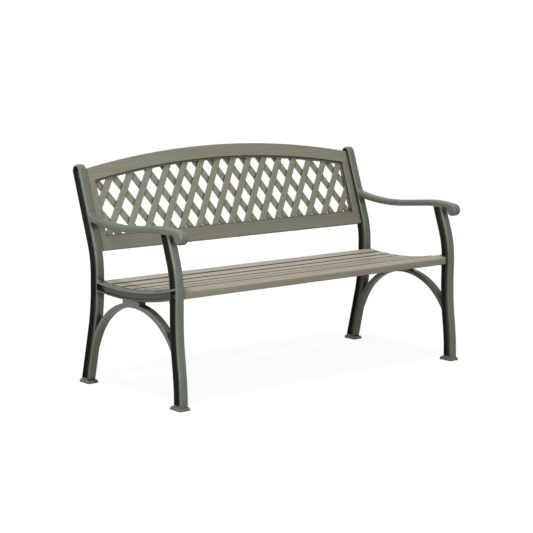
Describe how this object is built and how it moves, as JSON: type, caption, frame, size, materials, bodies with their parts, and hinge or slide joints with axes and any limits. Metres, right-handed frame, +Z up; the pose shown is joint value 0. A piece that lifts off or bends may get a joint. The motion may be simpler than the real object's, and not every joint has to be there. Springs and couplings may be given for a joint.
{
  "type": "garden bench",
  "caption": "Garden bench with cast metal end frames, curved armrests, a dished seat of long slats and an arched back with a lattice panel.",
  "frame": {"origin": "on the floor, in the middle of the bench's footprint box", "axes": "+X along the bench towards the sitter's left, +Y towards the back, +Z up"},
  "size_m": [1.469, 0.6992, 0.8926],
  "materials": {
    "frame_paint": "satin grey-green paint",
    "seat_boards": "grey-taupe stain",
    "back_boards": "grey-taupe stain",
    "lattice": "matt",
    "zinc_steel": "zinc plated",
    "black_steel": "black coated steel",
    "brass": "plain",
    "dowel_wood": "bare"
  },
  "bodies": {
    "root": {"back_bolts": "black_steel", "back_bottom_rail": "back_boards", "back_dowels": "dowel_wood", "back_inserts": "brass", "back_stile_left": "back_boards", "back_stile_right": "back_boards", "back_top_rail": "back_boards", "back_washers": "black_steel", "end_frame_left": "frame_paint", "end_frame_right": "frame_paint", "front_slat_bolts": "black_steel", "front_slat_inserts": "brass", "front_slat_washers": "black_steel", "lattice_panel": "lattice", "lattice_screws": "zinc_steel", "seat_centre_strap": "zinc_steel", "seat_front_slat": "seat_boards", "seat_screws_left": "zinc_steel", "seat_screws_right": "zinc_steel", "seat_slat_1": "seat_boards", "seat_slat_2": "seat_boards", "seat_slat_3": "seat_boards", "seat_slat_4": "seat_boards", "seat_slat_5": "seat_boards", "seat_slat_6": "seat_boards", "strap_screws": "zinc_steel"}
  },
  "joints": []
}
